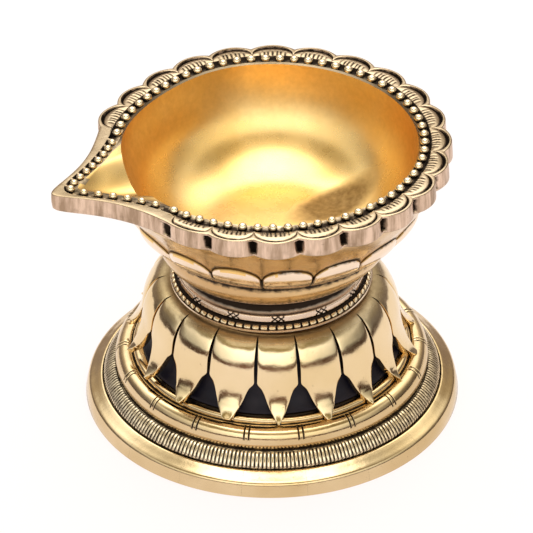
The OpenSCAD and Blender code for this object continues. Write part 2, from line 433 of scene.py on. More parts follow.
@dataclass(frozen=True)
class Finishes:
    """Every material of the lamp, made once."""

    well: bpy.types.Material
    belly: bpy.types.Material
    petal: bpy.types.Material
    rim: bpy.types.Material
    filed: bpy.types.Material
    beads: bpy.types.Material
    collar: bpy.types.Material
    skirt: bpy.types.Material
    foot: bpy.types.Material
    paint: bpy.types.Material
    steel: bpy.types.Material

    @classmethod
    def mixed(cls) -> "Finishes":
        """Mix the lamp's finishes."""
        return cls(
            # Painted shade: the well's copy of the brass is a deeper, darker orange than the outside of the same
            # casting.
            well=BrassFinish(
                "brass_well", metal=(0.88, 0.62, 0.27), warm=(0.85, 0.54, 0.18), tarnish_and_shade=(0.12, 0.056, 0.014), rough_low=0.25,
                rough_high=0.30, dent=0.03, grain=0.03, pits=0.05, speckle=0.04, ragged=0.05, pattern=Pattern.SATIN,
            ).material(),
            belly=BrassFinish(
                "brass_belly", metal=(0.72, 0.50, 0.25), warm=(0.58, 0.37, 0.17), rough_low=0.12, rough_high=0.28,
                dent=0.45, speckle=0.5,
            ).material(),
            petal=BrassFinish(
                "brass_petal", metal=(0.92, 0.76, 0.60), warm=(0.86, 0.68, 0.50), rough_low=0.10, rough_high=0.20,
                dent=0.5, speckle=0.5,
            ).material(),
            # Painted shade: the rim's copy of the brass is darker than the rest of the casting, so its flat top stays
            # dull under the bright light.
            rim=BrassFinish(
                "brass_rim", metal=(0.55, 0.42, 0.28), warm=(0.38, 0.28, 0.17), rough_low=0.16, rough_high=0.36,
                dent=0.5, grain=0.3, pits=0.7, speckle=0.45,
            ).material(),
            filed=BrassFinish(
                "brass_filed", metal=(0.80, 0.59, 0.44), warm=(0.38, 0.26, 0.17), rough_low=0.20, rough_high=0.46,
                dent=0.4, grain=0.9, pits=0.8, speckle=0.6, pattern=Pattern.FILED_UPRIGHT,
            ).material(),
            beads=BrassFinish(
                "brass_beads", metal=(0.90, 0.76, 0.54), warm=(0.84, 0.66, 0.42), rough_low=0.12, rough_high=0.26,
                dent=0.3,
            ).material(),
            collar=BrassFinish(
                "brass_collar", metal=(0.78, 0.62, 0.48), warm=(0.72, 0.54, 0.40), rough_low=0.16, rough_high=0.3,
                dent=0.3, speckle=0.3, ragged=0.07,
            ).material(),
            skirt=BrassFinish(
                "brass_skirt", metal=(0.83, 0.66, 0.42), warm=(0.76, 0.58, 0.32), rough_low=0.09, rough_high=0.19,
                dent=0.7, speckle=0.6, ragged=0.04, tarnish_and_shade=(0.12, 0.07, 0.02),
            ).material(),
            foot=BrassFinish(
                "brass_foot", metal=(0.74, 0.57, 0.34), warm=(0.62, 0.45, 0.23), rough_low=0.09, rough_high=0.22,
                dent=0.35, speckle=0.4,
            ).material(),
            paint=PaintFinish("black_paint").material(),
            steel=SteelFinish("plated_steel").material(),
        )


# ------------------------------------------------------------------ bowl


@dataclass
class OilBowl:
    """The spouted oil bowl: turned body, scalloped rim and its rows of beads."""

    seat_z: float = 56.6
    floor_z: float = 65.5
    well_r: float = 48.4
    lip_z: float = 97.2
    rim_z: float = 98.15
    rim_foot_z: float = 91.7
    dip_r: float = 56.9
    scallop_rise: float = 2.3
    scallops: int = 20
    scallop_pitch: float = 360.0 / 24.4
    first_dip: float = -125.2
    bead_row_r: float = 50.35
    bead_r: float = 1.6
    bead_pitch: float = 5.47
    spout_axis: float = 203.0
    spout_reach: float = 76.0
    bead_tip: float = 69.4
    spout_turn: float = 27.9
    trough_half_deg: float = 17.0
    trough_drop: float = 6.7
    petals: int = 17
    first_notch: float = -95.5
    notch_z: float = 72.1
    petal_peak_z: float = 80.2
    petal_foot_z: float = 69.4
    petal_lift: float = 0.65
    scallop_steps: int = 36
    spout_steps: int = 216
    body_steps: int = 680
    well_line: tuple[np.ndarray, np.ndarray] = field(init=False)
    belly_line: tuple[np.ndarray, np.ndarray] = field(init=False)

    def __post_init__(self) -> None:
        """Draw the well's and the belly's lines."""
        well = np.array(curve_run((20, self.floor_z), (37.4, self.floor_z), (47.4, 80.2), (self.well_r, self.lip_z), 60, True))
        self.well_line = (well[:, 0], well[:, 1])
        belly = np.array(
            [(39.6, 66.4), (41.3, 68.2), (48.6, 79.6)]
            + curve_run((48.6, 79.6), (52.4, 85.4), (55, 88.6), (56.5, self.rim_foot_z - 0.1), 16)
        )
        self.belly_line = (belly[:, 0], belly[:, 1])

    def well_radius(self, z: np.ndarray) -> np.ndarray:
        """Radius of the well's wall at a height."""
        return np.interp(z, self.well_line[1], self.well_line[0])

    def belly_radius(self, z: np.ndarray) -> np.ndarray:
        """Radius of the belly's outside at a height."""
        return np.interp(z, self.belly_line[1], self.belly_line[0])

    def lip_height(self, azimuth: np.ndarray) -> np.ndarray:
        """Height of the well's edge, which dips where the trough leaves it."""
        off = np.abs(wrap_deg(azimuth - self.spout_axis)) / self.trough_half_deg
        return self.lip_z - self.trough_drop * np.where(off < 1, np.cos(0.5 * math.pi * np.clip(off, 0, 1)) ** 1.9, 0.0)

    def settle(self, x: np.ndarray, y: np.ndarray, z: np.ndarray) -> tuple[np.ndarray, np.ndarray, np.ndarray]:
        """The hand casting's lean: a pinched back-left rim and a belly set to the right.

        Args:
            x: Across, in millimetres.
            y: Depth.
            z: Height.

        Returns:
            The moved x, y and z.
        """
        azimuth = np.degrees(np.arctan2(y, x))
        off = np.clip(np.abs(wrap_deg(azimuth - 141.0)) / 42.0, 0, 1)
        pinch = 1.0 - 0.040 * np.cos(0.5 * math.pi * off) ** 2 * ease(z, 78.0, 92.0)
        shift = 1.3 * ease(z, 56.6, 66.0) * (1.0 - ease(z, 82.0, 97.0))
        return x * pinch + shift, y * pinch, z

    # -- body

    def build_body(self, finishes: Finishes) -> bpy.types.Object:
        """Turn the well, the carved belly and the seat.

        Args:
            finishes: The lamp's materials.

        Returns:
            The body piece.
        """
        floor = [(0, self.floor_z), (7, self.floor_z), (14, self.floor_z)]
        wall = curve_run((20, self.floor_z), (37.4, self.floor_z), (47.4, 80.2), (self.well_r, self.lip_z), 26, True)
        inside = [(49.6, 96.6), (53.0, 93.6), (55.7, 92.4)]
        upper_rows, step_rows, petal_rows = 12, 5, 10
        marker = [(56.5, self.rim_foot_z - 0.1)]
        fill = [(50.0 - 0.1 * i, 78.0 - 0.3 * i) for i in range(upper_rows + step_rows + petal_rows)]
        lower = [(42.0, 68.9), (41.0, 67.9), (39.5, 67.1)] + curve_run((39.3, 66.2), (39.2, 62), (36.6, 58.4), (34, 57.1), 10)
        seat = [(33.4, self.seat_z), (10, self.seat_z), (10, 53), (4, 53), (4, 59.4), (0, 59.4)]
        spun = Spun(floor + wall + inside + marker + fill + lower + seat, self.body_steps)
        r, z, row, azimuth = spun.radius.copy(), spun.height.copy(), spun.row, spun.azimuth

        lip = self.lip_height(azimuth)
        drop = self.lip_z - lip
        first_wall, first_inside = len(floor), len(floor) + len(wall)
        on_wall = (row >= first_wall) & (row < first_inside)
        z = np.where(on_wall, np.minimum(z, lip), z)
        r = np.where(on_wall & (drop > 0) & (z > 80), self.well_radius(z), r)
        for number, share in enumerate((1.0, 0.45, 0.0)):
            z = np.where(row == first_inside + number, z - share * drop, z)
        tight = (row >= first_inside) & (row < first_inside + 3)
        r = np.where(tight, np.minimum(r, self.belly_radius(z) - 0.5), r)

        pitch = 360.0 / self.petals
        u = ((azimuth - self.first_notch) / pitch) % 1.0
        crest = self.notch_z + (self.petal_peak_z - self.notch_z) * arch(u) ** 0.42
        start = first_inside + len(inside) + 1
        step = row - start
        top = self.rim_foot_z - 0.1
        share = np.clip((step + 1) / upper_rows, 0, 1)
        upper = (step >= 0) & (step < upper_rows)
        z = np.where(upper, top + (crest + 0.9 - top) * share, z)
        r = np.where(upper, self.belly_radius(z), r)
        spun.patina_and_shade = np.where(upper, 0.45 * ease(share, 0.93, 1.0), 0.0)
        step_heights = (0.40, 0.14, -0.05, -0.28, -0.6)
        step_depths = (-0.05, -0.2, 0.0, 0.3, self.petal_lift)
        step_dark = (0.55, 0.9, 1.0, 0.5, 0.25)
        for k in range(step_rows):
            here = step == upper_rows + k
            z = np.where(here, crest + step_heights[k], z)
            r = np.where(here, self.belly_radius(z) + step_depths[k], r)
            spun.patina_and_shade = np.where(here, step_dark[k], spun.patina_and_shade)
        share = (step - upper_rows - step_rows + 1) / petal_rows
        on_petal = (share > 0) & (share <= 1)
        z = np.where(on_petal, crest - 0.6 + (self.petal_foot_z - crest + 0.6) * share, z)
        r = np.where(on_petal, self.belly_radius(z) + self.petal_lift + 1.6 * np.sin(math.pi * np.clip(share, 0, 1)) ** 0.8 * arch(u) ** 0.5, r)
        notch_gap = np.abs(wrap_deg((u * pitch + pitch / 2) % pitch - pitch / 2)) * 0.73
        notch = hump(notch_gap, 0.6) * np.where((z < crest + 0.2) & (z > 67.4) & (step >= upper_rows), 1.0, 0.0)
        r = r - 0.9 * notch
        spun.patina_and_shade = np.maximum(spun.patina_and_shade, notch)
        # Painted shade: a dark band under the petals' feet, and the lower belly darkened towards it.
        shaded_underside = (z <= 67.6) & (z >= 66.1) & (r > 38.5) & (step >= upper_rows)
        spun.patina_and_shade = np.maximum(spun.patina_and_shade, np.where(shaded_underside, 1.0, 0.0))
        near_seat = (row >= start + len(fill) + 3) & (r > 33)
        spun.patina_and_shade = np.maximum(spun.patina_and_shade, np.where(near_seat, 0.35 * ease(z, 64.0, 66.2), 0.0))
        a = np.radians(azimuth)
        x, y = r * np.cos(a), r * np.sin(a)
        # Painted reflection: a dark patch in the well stands in for a dark reflection. Painted shade: the upper well
        # wall is darkened.
        dark_reflection_patch = np.hypot((x - 19.0) / 16.5, (y - 10.5 - 0.40 * (x - 19.0)) / 10.5)
        painted_wall_shade = 0.27 * ease(z, 72.0, 86.0)
        spun.patina_and_shade = np.where(row < first_inside, painted_wall_shade + 0.60 * (1.0 - ease(dark_reflection_patch, 0.55, 1.15)), spun.patina_and_shade)
        spun.place(*self.settle(x, y, z))
        bm = spun.close()
        piece = make_piece("oil_bowl_body", bm, finishes.belly, ["oil_bowl"])
        piece.data.materials.append(finishes.well)
        centre, normal = face_facts(piece)
        inside = (centre[:, 2] > self.floor_z - 0.01) & (normal[:, 2] > -0.05) & (np.hypot(centre[:, 0], centre[:, 1]) < 48.9)
        piece.data.materials.append(finishes.petal)
        x, y, z = centre.T
        share = ((np.degrees(np.arctan2(y, x - 1.3)) - self.first_notch) / pitch) % 1.0
        line = self.notch_z + (self.petal_peak_z - self.notch_z) * arch(share) ** 0.42 + 0.1
        petal = ~inside & (z < line) & (z > 67.7) & (normal[:, 2] < 0.4)
        piece.data.polygons.foreach_set("material_index", (inside + 2 * petal).astype(np.int32))
        return piece

    # -- rim

    def spout_point(self, along: np.ndarray, across: np.ndarray) -> tuple[np.ndarray, np.ndarray]:
        """A point given along and across the spout, as x and y."""
        a = math.radians(self.spout_axis)
        return along * math.cos(a) - across * math.sin(a), along * math.sin(a) + across * math.cos(a)

    def lobe(self, tau: np.ndarray, reach: float, root: Point, share: float, blunt: float) -> tuple[np.ndarray, np.ndarray]:
        """A pointed lobe about the spout's axis.

        Args:
            tau: Place on the lobe, -1 to 1 with the tip at 0.
            reach: Distance of the tip from the lamp's axis.
            root: Distance and half width where the lobe begins.
            share: How straight the sides are, 1 for a plain wedge.
            blunt: Rounding of the tip.

        Returns:
            The x and y of the lobe's line.
        """
        t = np.abs(tau)
        run = (np.sqrt(t * t + blunt * blunt) - blunt) / (math.sqrt(1 + blunt * blunt) - blunt)
        along = reach - (reach - root[0]) * run
        across = np.sign(tau) * root[1] * (share * t + (1 - share) * t**4)
        return self.spout_point(along, across)

    def rim_lines(self) -> dict[str, np.ndarray]:
        """Plan lines of the rim, one point for each column.

        Returns:
            Arrays by name: place on each scallop or on the spout, the bead
            row, the well's edge, the outline, and distances to the cusps.
        """
        n_scallop = self.scallops * self.scallop_steps
        n = n_scallop + self.spout_steps
        k = np.arange(n)
        on_spout = k >= n_scallop
        t = np.where(on_spout, 0.0, (k % self.scallop_steps) / self.scallop_steps)
        index = np.where(on_spout, -1, k // self.scallop_steps)
        tau = np.where(on_spout, -1 + 2 * (k - n_scallop) / self.spout_steps, 0.0)
        last_dip = self.first_dip + self.scallops * self.scallop_pitch
        left, right = last_dip - self.spout_axis, self.first_dip + 360.0 - self.spout_axis
        azimuth = self.first_dip + self.scallop_pitch * (index + t)
        end = np.where(tau < 0, -left, right)
        part = 0.9
        q = np.abs(tau) / part
        turned = np.where(
            np.abs(tau) <= part, self.spout_turn * q,
            self.spout_turn + (end - self.spout_turn) * (np.abs(tau) - part) / (1 - part),
        )
        azimuth = np.where(on_spout, self.spout_axis + np.sign(tau) * turned, azimuth)
        a = np.radians(azimuth)

        bx, by = self.bead_row_r * np.cos(a), self.bead_row_r * np.sin(a)
        turn = math.radians(self.spout_turn)
        root = (self.bead_row_r * math.cos(turn), self.bead_row_r * math.sin(turn))
        lx, ly = self.lobe(np.clip(np.sign(tau) * q, -1, 1), self.bead_tip, root, 0.785, 0.10)
        here = on_spout & (q < 1)
        bx, by = np.where(here, lx, bx), np.where(here, ly, by)
        ix, iy = (self.bead_row_r - 1.5) * np.cos(a), (self.bead_row_r - 1.5) * np.sin(a)
        root_in = ((self.bead_row_r - 1.5) * math.cos(turn), (self.bead_row_r - 1.5) * math.sin(turn))
        lx, ly = self.lobe(np.clip(np.sign(tau) * q, -1, 1), self.bead_tip - 2.6, root_in, 0.785, 0.10)
        ix, iy = np.where(here, lx, ix), np.where(here, ly, iy)

        def smooth(v: np.ndarray, reach: int) -> np.ndarray:
            """A running mean round the rim."""
            total = sum(np.roll(v, s) for s in range(-reach, reach + 1))
            return np.where(on_spout | np.roll(on_spout, reach) | np.roll(on_spout, -reach), total / (2 * reach + 1), v)

        bx, by = smooth(bx, 3), smooth(by, 3)
        nx = smooth(np.roll(by, -1) - np.roll(by, 1), 3)
        ny = smooth(np.roll(bx, 1) - np.roll(bx, -1), 3)
        size = np.hypot(nx, ny)
        nx, ny = nx / size, ny / size

        rise = self.scallop_rise * np.select([index == 0, index == 1], [0.45, 0.85], 1.0)
        out_r = self.dip_r + rise * arch(t)
        ox, oy = out_r * np.cos(a), out_r * np.sin(a)
        lx, ly = self.lobe(tau, self.spout_reach, (48.9, 29.0), 0.6, 0.14)
        ends = np.radians(self.spout_axis + np.where(tau < 0, left, right))
        ex, ey = self.lobe(np.where(tau < 0, -1.0, 1.0), self.spout_reach, (48.9, 29.0), 0.6, 0.14)
        pull = np.abs(tau) ** 3
        lx = lx + (self.dip_r * np.cos(ends) - ex) * pull
        ly = ly + (self.dip_r * np.sin(ends) - ey) * pull
        ox, oy = np.where(on_spout, lx, ox), np.where(on_spout, ly, oy)
        run = np.where(on_spout, (1 - np.abs(tau)) * 40.0, np.minimum(t, 1 - t) * 14.65)
        return {
            "t": t, "index": index, "tau": tau, "on_spout": on_spout, "azimuth": azimuth, "bx": bx, "by": by,
            "ix": ix, "iy": iy, "nx": nx, "ny": ny, "ox": ox, "oy": oy, "run": run, "left": np.full(n, left),
            "right": np.full(n, right),
        }

    def bead_places(self, lines: dict[str, np.ndarray]) -> list[tuple[float, float, float]]:
        """Where the beads stand: x, y and size, round the ring and down the spout.

        Args:
            lines: The rim's plan lines; not used.

        Returns:
            The beads.
        """
        places = []
        first = self.spout_axis + self.spout_turn + 1.6
        last = self.spout_axis - self.spout_turn - 1.6 + 360.0
        count = round((last - first) / self.bead_pitch)
        for i in range(count + 1):
            a = math.radians(first + (last - first) * i / count)
            places.append((self.bead_row_r * math.cos(a), self.bead_row_r * math.sin(a), self.bead_r))
        turn = math.radians(self.spout_turn)
        root = (self.bead_row_r * math.cos(turn), self.bead_row_r * math.sin(turn))
        fine = np.linspace(0.0, 0.985, 400)
        for side, pitch in ((1.0, 4.35), (-1.0, 3.55)):
            x, y = self.lobe(side * fine, self.bead_tip, root, 0.785, 0.10)
            length = np.concatenate([[0], np.cumsum(np.hypot(np.diff(x), np.diff(y)))])
            count = int(length[-1] // pitch)
            for i in range(0 if side > 0 else 1, count + 1):
                at = length[-1] * i / count
                if i == count:
                    continue
                size = 1.55 if i == 0 else 1.4
                places.append((float(np.interp(at, length, x)), float(np.interp(at, length, y)), size))
        return places

    def build_rim(self, finishes: Finishes) -> bpy.types.Object:
        """Carve the scalloped rim and the spout.

        Args:
            finishes: The lamp's materials.

        Returns:
            The rim piece.
        """
        line = self.rim_lines()
        n = len(line["t"])
        t, tau, on_spout, azimuth = line["t"], line["tau"], line["on_spout"], line["azimuth"]
        lift = arch(t)
        moon = np.where(on_spout, 0.0, lift**0.5)
        bx, by, nx, ny = line["bx"], line["by"], line["nx"], line["ny"]
        ox, oy = line["ox"], line["oy"]
        near = np.full(n, 99.0)
        for px, py, _ in self.bead_places(line):
            near = np.minimum(near, np.hypot(bx - px, by - py))
        scoop = np.where(on_spout & (np.abs(tau) < 0.86), hump(near, 1.75) ** 0.7, 1.0)

        rows: list[tuple[np.ndarray, np.ndarray, np.ndarray, np.ndarray]] = []

        def row(x: np.ndarray, y: np.ndarray, z: np.ndarray | float, dark: np.ndarray | float) -> None:
            """Add one row of the rim's section."""
            rows.append((x, y, np.broadcast_to(z, n).astype(float), np.broadcast_to(dark, n).astype(float)))

        lip = self.lip_height(azimuth)
        a = np.radians(azimuth)
        er = self.well_radius(lip)
        ex, ey = er * np.cos(a), er * np.sin(a)
        ix, iy = line["ix"], line["iy"]
        inner_z = self.rim_z - 0.35
        for share in (0.0, 0.03, 0.14, 0.28, 0.44, 0.6, 0.76, 0.9, 1.0):
            sag = 1.5 * math.sin(math.pi * share) * (self.lip_z - lip) / self.trough_drop
            row(ex + (ix - ex) * share, ey + (iy - ey) * share, lip + (inner_z - lip) * share - sag, 0.25 * share**3)
        # Painted shade: the groove round the beads is darkened, darkest in the gaps between them.
        row(bx - 0.5 * nx, by - 0.5 * ny, self.rim_z - np.where(on_spout, 0.4, 0.8), 0.55)
        row(bx + 0.9 * nx, by + 0.9 * ny, self.rim_z - 0.15 - 0.75 * scoop, 0.2 + 0.7 * scoop)
        row(bx + 1.45 * nx, by + 1.45 * ny, self.rim_z - 1.2 * scoop, scoop)
        row(bx + 1.8 * nx, by + 1.8 * ny, self.rim_z - 0.9 * scoop, scoop)
        gx, gy = bx + 2.15 * nx, by + 2.15 * ny
        length = np.hypot(ox - gx, oy - gy)
        dx, dy = (ox - gx) / length, (oy - gy) / length
        moon_out = 0.05 + np.minimum(4.6 * moon, np.maximum(length - 1.95, 0.0))
        cut_out = moon_out + 0.25 + 0.95 * moon
        petal_floor = 0.55 * np.where(on_spout, 0.0, 1.0) * moon

        def at(distance: np.ndarray | float) -> tuple[np.ndarray, np.ndarray]:
            """A point that far out from the groove towards the outline."""
            return gx + dx * distance, gy + dy * distance

        hatch = np.zeros(n)
        middle = self.scallop_steps // 2
        column = np.arange(n) % self.scallop_steps
        for step in (-11, -7, -4, 0, 4, 7, 11):
            hatch = np.maximum(hatch, np.where(~on_spout & (column == middle + step), 1.0, 0.0))
            side = ~on_spout & (np.abs(column - middle - step) == 1)
            hatch = np.maximum(hatch, np.where(side, 0.25, 0.0))
        petal_rows = 12
        for i in range(petal_rows + 1):
            share = i / petal_rows
            dome = math.sin(math.pi * min(max(0.12 + 0.80 * share, 0), 1)) ** 0.6
            z = self.rim_z - petal_floor + 1.0 * moon * dome - 0.35 * moon
            cut = hatch * float(0.05 < share < 0.62) * moon
            edge_dark = 0.75 * (share < 0.02) * scoop + 0.55 * (share > 0.98) * moon
            row(*at(moon_out * share), z - 0.30 * cut, np.maximum(0.85 * cut, edge_dark))
        depth = 0.25 + 1.15 * moon
        soft = np.where(on_spout, ease(np.abs(tau), 0.93, 1.0), 1.0)
        for share, sink, dark in ((0.2, 0.85, 1.0), (0.55, 1.0, 1.0), (0.85, 0.7, 0.9), (1.0, 0.15, 0.35)):
            row(*at(moon_out + (cut_out - moon_out) * share), self.rim_z - depth * sink * soft, dark * soft)
        for share in (0.12, 0.45, 0.8):
            row(*at(cut_out + (length - cut_out - 0.3) * share), self.rim_z + 0.05 * math.sin(math.pi * share), 0.0)
        row(*at(length - 0.3), self.rim_z - 0.02, 0.0)
        row(*at(length - 0.08), self.rim_z - 0.14, 0.0)

        foot = self.rim_foot_z + np.where(on_spout, 0.7 * (1 - np.abs(tau)), 0.0)
        for share in (0.0, 0.05, 0.12, 0.25, 0.4, 0.55, 0.7, 0.82, 0.9, 0.96, 1.0):
            top = self.rim_z - 0.38
            z = top + (foot + 0.35 - top) * share
            cut = hump(line["run"], 1.75 - 0.6 * share) * float(0.10 < share < 0.85)
            bulge = 0.12 * math.sin(math.pi * share)
            row(*at(length + bulge - 1.5 * cut), z, np.maximum(cut * 1.2, 0.06 + 0.08 * share))
        row(*at(length - 0.35), foot, 0.2)

        keel_z = np.where(on_spout, 77.0 + (self.rim_foot_z - 77.0) * np.abs(tau) ** 1.2, self.rim_foot_z + 0.2)
        keel_r = np.where(on_spout, self.belly_radius(keel_z) - 0.5 - 0.9 * np.abs(tau) ** 2, 54.8)
        keel_off = np.where(tau < 0, -line["left"], line["right"]) * tau
        keel_a = np.radians(np.where(on_spout, self.spout_axis + keel_off * (0.6 + 0.4 * tau * tau), azimuth))
        kx, ky = keel_r * np.cos(keel_a), keel_r * np.sin(keel_a)
        sx, sy = at(length - 0.35)
        for share in (0.15, 0.3, 0.45, 0.6, 0.8, 1.0):
            arc = 3.2 * math.sin(math.pi * share) * np.where(on_spout, (1 - np.abs(tau)), 0.0)
            row(sx + (kx - sx) * share, sy + (ky - sy) * share, foot + (keel_z - foot) * share + arc, 0.15)
        hr = np.where(on_spout, self.belly_radius(keel_z) - 1.5 - 0.9 * np.abs(tau) ** 2, 53.5)
        hz = np.where(on_spout, keel_z + 0.9 * np.abs(tau), self.rim_foot_z + 0.9)
        row(hr * np.cos(keel_a), hr * np.sin(keel_a), hz, 0.0)
        mz = 0.5 * (hz + lip)
        mr = np.where(on_spout, 0.5 * (self.well_radius(mz) + self.belly_radius(np.minimum(mz, 90.0))), 50.6)
        row(mr * np.cos(a), mr * np.sin(a), np.where(on_spout, mz, self.rim_foot_z + 2.9), 0.0)

        spun = Spun([(50 + 0.1 * i, 90 + 0.1 * (i % 3)) for i in range(len(rows))], n)
        grid = np.array([[part[k] for part in rows] for k in range(4)])
        x, y, z, dark = (grid[k][spun.row, spun.column] for k in range(4))
        spun.patina_and_shade = dark
        spun.place(*self.settle(x, y, z))
        piece = make_piece("oil_bowl_rim", spun.close(), finishes.rim, sharp_deg=50)
        piece.data.materials.append(finishes.well)
        piece.data.materials.append(finishes.filed)
        self.dress_rim(piece)
        return piece

    def dress_rim(self, piece: bpy.types.Object) -> None:
        """Give the trough the well's finish, and the upright side its filed one."""
        axis = math.radians(self.spout_axis)
        centre, normal = face_facts(piece)
        x, y, z = centre.T
        along = x * math.cos(axis) + y * math.sin(axis)
        across = np.abs(y * math.cos(axis) - x * math.sin(axis))
        q = (self.bead_tip - 2.4 - along) / 24.0
        trough = (normal[:, 2] > 0.35) & (along > 40) & (z < self.rim_z - 0.45) & (z > 88) & (across < 20.5 * q)
        side = (np.abs(normal[:, 2]) < 0.6) & (np.hypot(x, y) > 55.0) & (z < self.rim_z - 0.1)
        piece.data.polygons.foreach_set("material_index", (trough + 2 * (side & ~trough)).astype(np.int32))

    def build_beads(self, finishes: Finishes) -> bpy.types.Object:
        """Set the beads round the well and down the spout.

        Args:
            finishes: The lamp's materials.

        Returns:
            The row of beads.
        """
        bm = bmesh.new()
        layer = bm.verts.layers.float.new("patina_and_shade")
        for number, (x, y, size) in enumerate(self.bead_places(self.rim_lines())):
            made = bmesh.ops.create_uvsphere(bm, u_segments=12, v_segments=8, radius=size * MM)
            sx, sy, sz = self.settle(np.array([x]), np.array([y]), np.array([self.rim_z - 0.12]))
            turn = Matrix.Rotation(number * 0.7, 4, "Z") @ Matrix.Diagonal((1.0, 0.94, 0.95, 1.0))
            move = Matrix.Translation((float(sx[0]) * MM, float(sy[0]) * MM, float(sz[0]) * MM))
            for vert in made["verts"]:
                # Painted shade: each bead is darkened on its lower part.
                vert[layer] = max(0.0, 1.0 - (vert.co.z / (size * MM) + 0.15) * 3.0) if vert.co.z < 0.4 * size * MM else 0.0
                vert.co = move @ turn @ vert.co
        return make_piece("oil_bowl_beads", bm, finishes.beads, sharp_deg=80)

    def build(self, finishes: Finishes) -> None:
        """Make the whole bowl."""
        self.build_body(finishes)
        self.build_rim(finishes)
        self.build_beads(finishes)


# ------------------------------------------------------------------ neck


@dataclass
class NeckCollar:
    """Hollow moulding over a fillet that is punched with pairs of crosses."""

    seat_z: float = 47.8
    top_z: float = 56.6
    fillet_r: float = 31.2
    cross_pairs: int = 13
    first_pair: float = -86.0
    cross_off: float = 1.05
    steps: int = 1040

    def build(self, finishes: Finishes) -> bpy.types.Object:
        """Turn the collar and punch its crosses."""
        band_low, band_high = self.seat_z + 0.45, self.seat_z + 2.0
        band = [(self.fillet_r, z) for z in np.linspace(band_low, band_high, 10)]
        section = (
            [(4.3, self.seat_z), (30.4, self.seat_z), (30.9, self.seat_z + 0.12)]
            + band
            + [(31.05, self.seat_z + 2.3), (30.7, self.seat_z + 2.5), (30.2, self.seat_z + 2.7)]
            + curve_run((30.2, self.seat_z + 2.7), (28.0, self.seat_z + 4.4), (28.6, self.seat_z + 7.0), (33.4, self.top_z), 14)
            + [(10.05, self.top_z), (10.05, 53.0), (4.3, 53.0)]
        )
        spun = Spun(section, self.steps)
        r, z = spun.radius.copy(), spun.height
        pitch = 360.0 / self.cross_pairs
        along = wrap_deg((spun.azimuth - self.first_pair + pitch / 2) % pitch - pitch / 2) * math.radians(self.fillet_r)
        middle = 0.5 * (band_low + band_high)
        arm = np.abs(np.abs(along) - self.cross_off)
        line = hump(arm - np.abs(z - middle) * 1.05, 0.42) * (np.abs(along) < 2.1)
        on_band = (r > 30.95) & (z >= band_low - 0.01) & (z <= band_high + 0.2)
        cut = line * on_band
        r = r - 0.34 * cut
        # Painted shade: the hollow moulding under the bowl is darkened.
        hollow_shade = ease(z, self.seat_z + 2.2, self.seat_z + 4.0) * (1 - ease(z, self.top_z - 1.0, self.top_z - 0.2))
        spun.patina_and_shade = np.maximum(cut, 0.85 * hollow_shade)
        spun.patina_and_shade = np.maximum(spun.patina_and_shade, 0.8 * hump(z - self.seat_z, 0.45))
        spun.place_polar(r, spun.azimuth, z)
        return make_piece("neck_collar_turned", spun.close(), finishes.collar, ["neck_collar"])


@dataclass
class BeadRing:
    """The ring of small square beads under the collar."""

    seat_z: float = 45.4
    lip_r: float = 33.6
    bore_r: float = 14.0
    bead_count: int = 75
    bead_size: tuple[float, float, float] = (1.45, 2.25, 1.2)
    bead_r: float = 32.45
    bead_z: float = 46.75
    steps: int = 450

    def build(self, finishes: Finishes) -> bpy.types.Object:
        """Turn the ring and set its beads."""
        z = self.seat_z
        section = [
            (self.bore_r, z), (self.lip_r - 0.2, z), (self.lip_r, z + 0.15), (self.lip_r, z + 0.5),
            (self.lip_r - 0.2, z + 0.68), (33.0, z + 0.75), (32.6, z + 0.8), (32.2, z + 1.1), (31.9, z + 1.7),
            (31.6, z + 2.2), (31.2, z + 2.4), (self.bore_r, z + 2.4),
        ]
        spun = Spun(section, self.steps)
        # Painted shade: the ring's face under and between the square beads is dark.
        spun.patina_and_shade = np.where((spun.radius > 31.1) & (spun.radius < 33.1) & (spun.height > z + 0.6), 1.0, 0.0)
        spun.place_polar(spun.radius, spun.azimuth, spun.height)
        ring = spun.close()
        beads = bmesh.new()
        layer = beads.verts.layers.float.new("patina_and_shade")
        beads.verts.layers.int.new("row")
        for i in range(self.bead_count):
            made = bmesh.ops.create_cube(beads, size=1.0)["verts"]
            bmesh.ops.scale(beads, vec=[s * MM for s in self.bead_size], verts=made)
            bmesh.ops.rotate(beads, cent=(0, 0, 0), matrix=Matrix.Rotation(math.radians(32), 3, "Y"), verts=made)
            bmesh.ops.translate(beads, vec=(self.bead_r * MM, 0, self.bead_z * MM), verts=made)
            angle = 2 * math.pi * (i + 0.35) / self.bead_count
            bmesh.ops.rotate(beads, cent=(0, 0, 0), matrix=Matrix.Rotation(angle, 3, "Z"), verts=made)
        bmesh.ops.bevel(
            beads, geom=list(beads.edges) + list(beads.verts), offset=0.42 * MM, segments=2, profile=0.5,
            affect="EDGES", material=-1,
        )
        for vert in beads.verts:
            vert[layer] = 0.0
        bmesh.ops.recalc_face_normals(beads, faces=beads.faces)
        ring_faces = len(ring.faces)
        piece = make_piece("bead_ring_turned", join_bmesh([ring, beads]), finishes.collar, ["bead_ring"])
        piece.data.materials.append(finishes.beads)
        on_bead = np.arange(len(piece.data.polygons)) >= ring_faces
        piece.data.polygons.foreach_set("material_index", on_bead.astype(np.int32))
        return piece


# ----------------------------------------------------------------- skirt


